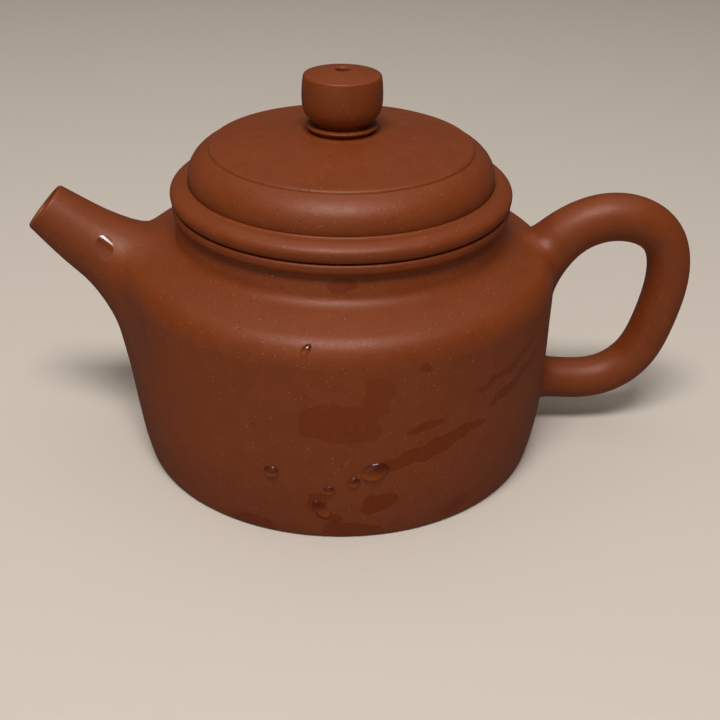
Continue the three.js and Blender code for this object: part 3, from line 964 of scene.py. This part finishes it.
def clay(name, wetted):
    """Unglazed stoneware clay: fine sandy grain, pale and dark specks, soft tone changes and a
    satin surface. Texture scales are per millimetre."""
    material = bpy.data.materials.new(name)
    material.use_nodes = True
    n = Nodes(material)
    shader = n.tree.nodes["Principled BSDF"]
    where = n.vector("SCALE", n.add("TexCoord").outputs["Object"])
    where.node.inputs["Scale"].default_value = 1 / MM

    broad = n.noise(where, 0.045, 3.0)
    middle = n.noise(where, 0.30, 3.0)
    grain = n.noise(where, 2.2, 3.0, 0.65)
    fine = n.noise(where, 6.0, 2.0, 0.6)
    tone = n.math("ADD", n.math("MULTIPLY", broad, 0.5), n.math("MULTIPLY", middle, 0.5))
    colour = n.mix(n.ramp(tone, 0.38, 0.64, 0.15, 0.75), CLAY_RED, CLAY_ORANGE)
    colour = n.mix(n.ramp(grain, 0.42, 0.20, 0.0, 0.55), colour, CLAY_DEEP)
    colour = n.mix(n.ramp(fine, 0.55, 0.85, 0.0, 0.35), colour, CLAY_ORANGE)

    # pale specks: one in each cell, of the size and strength that the cell draws
    cells = n.add("TexVoronoi", {"Vector": where, "Scale": 1.8})
    draw = n.add("SeparateColor", {0: cells.outputs["Color"]}).outputs
    reach_of = n.ramp(draw["Red"], 0.35, 1.0, 0.0, 0.27)
    speck = n.ramp(n.math("SUBTRACT", cells.outputs["Distance"], reach_of), 0.0, -0.05)
    colour = n.mix(n.math("MULTIPLY", speck, n.ramp(draw["Green"], 0.1, 1.0, 0.08, 0.65)),
                   colour, SAND)
    # dark grains and pits, rarer and larger, in cells of their own
    elsewhere = n.vector("ADD", where, (41.0, 17.0, 5.0))
    dark_cells = n.add("TexVoronoi", {"Vector": elsewhere, "Scale": 0.55})
    dark_draw = n.add("SeparateColor", {0: dark_cells.outputs["Color"]}).outputs
    pit_reach = n.ramp(dark_draw["Red"], 0.6, 1.0, 0.0, 0.16)
    pit = n.ramp(n.math("SUBTRACT", dark_cells.outputs["Distance"], pit_reach), 0.0, -0.05)
    colour = n.mix(n.math("MULTIPLY", pit, 0.6), colour, DARK_GRAIN)

    rough = n.math("ADD", n.ramp(grain, 0.3, 0.7, -0.04, 0.05),
                   n.ramp(middle, 0.3, 0.7, 0.45, 0.50))
    height = n.math("ADD", n.math("MULTIPLY", grain, 0.6), n.math("MULTIPLY", fine, 0.4))
    height = n.math("SUBTRACT", height, n.math("MULTIPLY", pit, 0.8))
    if wetted:
        wet = wet_share(n, where)
        colour = n.mix(wet, colour, n.mix(0.1, WET_CLAY, colour))
        rough = n.math("SUBTRACT", rough, n.math("MULTIPLY", wet, WET_GLOSS))
        height = n.math("MULTIPLY", height, n.ramp(wet, 0.0, 1.0, 1.0, 0.15))
    bump = n.add("Bump", {"Height": height, "Strength": BUMP_STRENGTH,
                          "Distance": BUMP_HEIGHT * MM})
    n.put(shader.inputs["Base Color"], colour)
    n.put(shader.inputs["Roughness"], rough)
    n.put(shader.inputs["Normal"], bump.outputs["Normal"])
    shader.inputs["Specular IOR Level"].default_value = 0.5
    shader.inputs["Specular Tint"].default_value = GLEAM
    return material


# ---- water drops ----

# Drops on the wall, the shoulder and the spout: centre near the surface, half width, half
# height, how far the drop stands out, and its slant in degrees.
DROPS = [
    ((-14.2, -41.7, 15.6), 1.6, 1.3, 0.55, 0),
    ((5.1, -43.8, 16.7), 2.7, 1.9, 0.8, 20),
    ((1.2, -44.0, 14.4), 1.3, 1.1, 0.45, 10),
    ((-3.4, -43.7, 12.5), 1.2, 1.0, 0.4, 0),
    ((-4.9, -43.2, 7.8), 1.2, 2.4, 0.5, 35),
    ((-7.5, -42.5, 42.0), 0.8, 1.4, 0.4, -30),
    ((-47.3, -6.4, 45.3), 2.1, 2.9, 0.13, 10),
]
DROP_SIDES, DROP_ROWS = 32, 10
DEEP_DROP = 0.4             # a drop that stands out this far has its full painted shade and painted light
RIM_SINK = 0.06             # a drop's rim goes this far into the skin
DROP_ANGLE = 50             # and its shading breaks there, at edges sharper than this


def make_drops():
    """Flat round drops that cling to the pot, with the share of height inside each, from -1 to
    1, as a vertex attribute that places their painted shade and painted light."""
    sides, rows = DROP_SIDES, DROP_ROWS
    spout = Tube.through(SPOUT_STATIONS, SPOUT_STEPS)

    def melted(p):
        return blended(p, spout, spout_blend)

    vertices = []
    faces = []
    share = []
    for centre, half, tall, stand, slant in DROPS:
        first = len(vertices)
        centre = np.array(centre)
        out = slope(centre[None], melted)[0]
        across = np.cross((0.0, 0.0, 1.0), out)
        across /= np.linalg.norm(across)
        up = np.cross(out, across)
        c, s = math.cos(math.radians(slant)), math.sin(math.radians(slant))
        place = [(0.0, 0.0, 0.0)]
        for row in range(1, rows + 1):
            t = math.sin(math.pi / 2 * row / rows)
            for k in range(sides):
                a = 2 * math.pi * k / sides
                place.append((t, t * half * math.cos(a), t * tall * math.sin(a)))
        t, u, v = np.array(place).T
        sideways, upwards = u * c - v * s, u * s + v * c
        points = centre + sideways[:, None] * across + upwards[:, None] * up
        points = drawn_to(points, melted, 4)
        rise = SKIN_LIFT + stand * (1 - t ** 2) ** 0.6 - RIM_SINK * t
        points = points + rise[:, None] * slope(points, melted)
        vertices.extend(points.tolist())
        # where the painted shade and painted light fall, weaker on flatter drops
        share.extend((min(1, stand / DEEP_DROP) * upwards / tall).tolist())
        for k in range(sides):
            faces.append([first, first + 1 + k, first + 1 + (k + 1) % sides])
        faces.extend([first + 1 + i for i in face] for face in grid_faces(rows, sides))
        last = first + 1 + (rows - 1) * sides
        faces.append([last + k for k in reversed(range(sides))])
    drops = new_object("water_drops", vertices, faces)
    shade = drops.data.attributes.new("drop_painted_light_share", "FLOAT", "POINT")
    shade.data.foreach_set("value", share)
    crisp(drops, DROP_ANGLE)
    return drops


def water():
    """A drop on the clay: glossy, with painted shade at its upper edge, painted light at its
    foot.
    """
    material = bpy.data.materials.new("water_with_painted_light")
    material.use_nodes = True
    n = Nodes(material)
    shader = n.tree.nodes["Principled BSDF"]
    share = n.add("Attribute", attribute_name="drop_painted_light_share").outputs["Fac"]
    # painted light at the drop's foot, painted shade at its upper edge
    n.put(shader.inputs["Base Color"], n.mix(n.ramp(share, -0.9, 0.8), DROP_PAINTED_LIGHT, DROP_PAINTED_SHADE))
    shader.inputs["Roughness"].default_value = 0.12
    return material


# ---- build ----

def settle(piece, body, material):
    """The piece rides on its body and takes its material."""
    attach(piece, body)
    piece.data.materials.clear()
    piece.data.materials.append(material)


pot_clay = clay("pot_clay", True)
lid_clay = clay("lid_clay", False)
POT = {
    "base_disc": make_base_disc,
    "body_wall": make_body_wall,
    "shoulder_plate": make_shoulder_plate,
    "neck_ring": make_neck_ring,
    "mouth_band": make_mouth_band,
    "spout": make_spout,
    "strainer": make_strainer,
    "handle": make_handle,
}
LID = {
    "lid_flange": make_lid_flange,
    "lid_rim_band": make_lid_rim_band,
    "lid_dome": make_lid_dome,
    "lid_raised_disc": make_lid_raised_disc,
    "knob_collar": make_knob_collar,
    "knob": make_knob,
}
for made_by, body, slot, material in ((POT, "pot", "clay", pot_clay),
                                      (LID, "lid", "lid_clay", lid_clay)):
    for node, make in made_by.items():
        piece = make()
        piece.name = "clay_" + node
        settle(piece, body, material)
        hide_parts(node)
settle(make_drops(), "pot", water())


# ---- floor, light and camera ----

AIM = (0, 0, 0.03)          # the lamps point here
LAMPS = [                   # name, place, size, power and colour
    ("overhead", (-0.05, -0.35, 0.76), (0.38, 0.18), 5.1, (1.0, 0.95, 0.92)),
    ("top_fill", (0.0, 0.2, 0.9), (1.2, 0.8), 1.7, (1.0, 0.96, 0.95)),
    ("front_fill", (-0.4, -0.9, 0.3), (1.0, 0.8), 0.9, (1.0, 0.96, 0.95)),
]
ROOM_COLOUR = (0.85, 0.82, 0.80, 1)
ROOM_STRENGTH = 0.09
FLOOR_COLOUR = (0.68, 0.63, 0.56, 1)
FLOOR_ROUGHNESS = 0.7

# The camera stands in front of the pot and looks down on it by about 30 degrees.
CAMERA_PLACE = (-7.301, -209.079, 136.328)    # millimetres
CAMERA_RIGHT = Vector((0.998793, -0.046428, 0.016018))
CAMERA_AHEAD = Vector((0.048210, 0.864532, -0.500261))
CAMERA_LENS = 55.0
CAMERA_SENSOR = 36.0


def make_floor():
    """A pale round floor that sweeps up into a backdrop on every side. Metres."""
    flat_r, sweep, rise, sides = 0.95, 0.35, 1.6, 128
    outline = [(flat_r / 2, 0.0), (flat_r, 0.0)]
    for k in range(1, 13):
        a = math.pi / 2 * k / 12
        outline.append((flat_r + sweep * math.sin(a), sweep * (1 - math.cos(a))))
    outline.append((flat_r + sweep, rise))
    vertices = []
    for r, z in outline:
        for k in range(sides):
            a = 2 * math.pi * k / sides
            vertices.append((r * math.cos(a), r * math.sin(a), z))
    faces = [face[::-1] for face in grid_faces(len(outline), sides)]
    faces.append(list(range(sides)))
    floor = new_object("floor", np.array(vertices) / MM, faces)
    material = bpy.data.materials.new("floor")
    material.use_nodes = True
    shader = material.node_tree.nodes["Principled BSDF"]
    shader.inputs["Base Color"].default_value = FLOOR_COLOUR
    shader.inputs["Roughness"].default_value = FLOOR_ROUGHNESS
    floor.data.materials.append(material)
    floor.visible_glossy = False    # the clay's sides don't mirror a bright studio floor


def area_light(name, place, size, power, colour):
    """A soft rectangular lamp that points at the pot."""
    light = bpy.data.lights.new(name, "AREA")
    light.shape = "RECTANGLE"
    light.size, light.size_y = size
    light.energy = power
    light.color = colour
    lamp = bpy.data.objects.new(name, light)
    lamp.location = place
    aim = Vector(AIM) - Vector(place)
    lamp.rotation_mode = "QUATERNION"
    lamp.rotation_quaternion = aim.to_track_quat("-Z", "Y")
    bpy.context.scene.collection.objects.link(lamp)


def light_room():
    """Faint even light from all around."""
    world = bpy.data.worlds.new("studio")
    bpy.context.scene.world = world
    world.use_nodes = True
    background = world.node_tree.nodes["Background"]
    background.inputs["Color"].default_value = ROOM_COLOUR
    background.inputs["Strength"].default_value = ROOM_STRENGTH


def place_camera():
    camera = bpy.data.cameras.new("camera")
    camera.lens = CAMERA_LENS
    camera.sensor_width = CAMERA_SENSOR
    camera.clip_start = 0.01
    camera.clip_end = 10.0
    viewer = bpy.data.objects.new("camera", camera)
    bpy.context.scene.collection.objects.link(viewer)
    ahead = CAMERA_AHEAD.normalized()
    right = (CAMERA_RIGHT - ahead * CAMERA_RIGHT.dot(ahead)).normalized()
    turn = Matrix((right, right.cross(ahead), -ahead)).transposed().to_4x4()
    viewer.matrix_world = Matrix.Translation(Vector(CAMERA_PLACE) * MM) @ turn
    bpy.context.scene.camera = viewer


make_floor()
for lamp in LAMPS:
    area_light(*lamp)
light_room()
place_camera()
bpy.context.scene.view_settings.view_transform = "Standard"
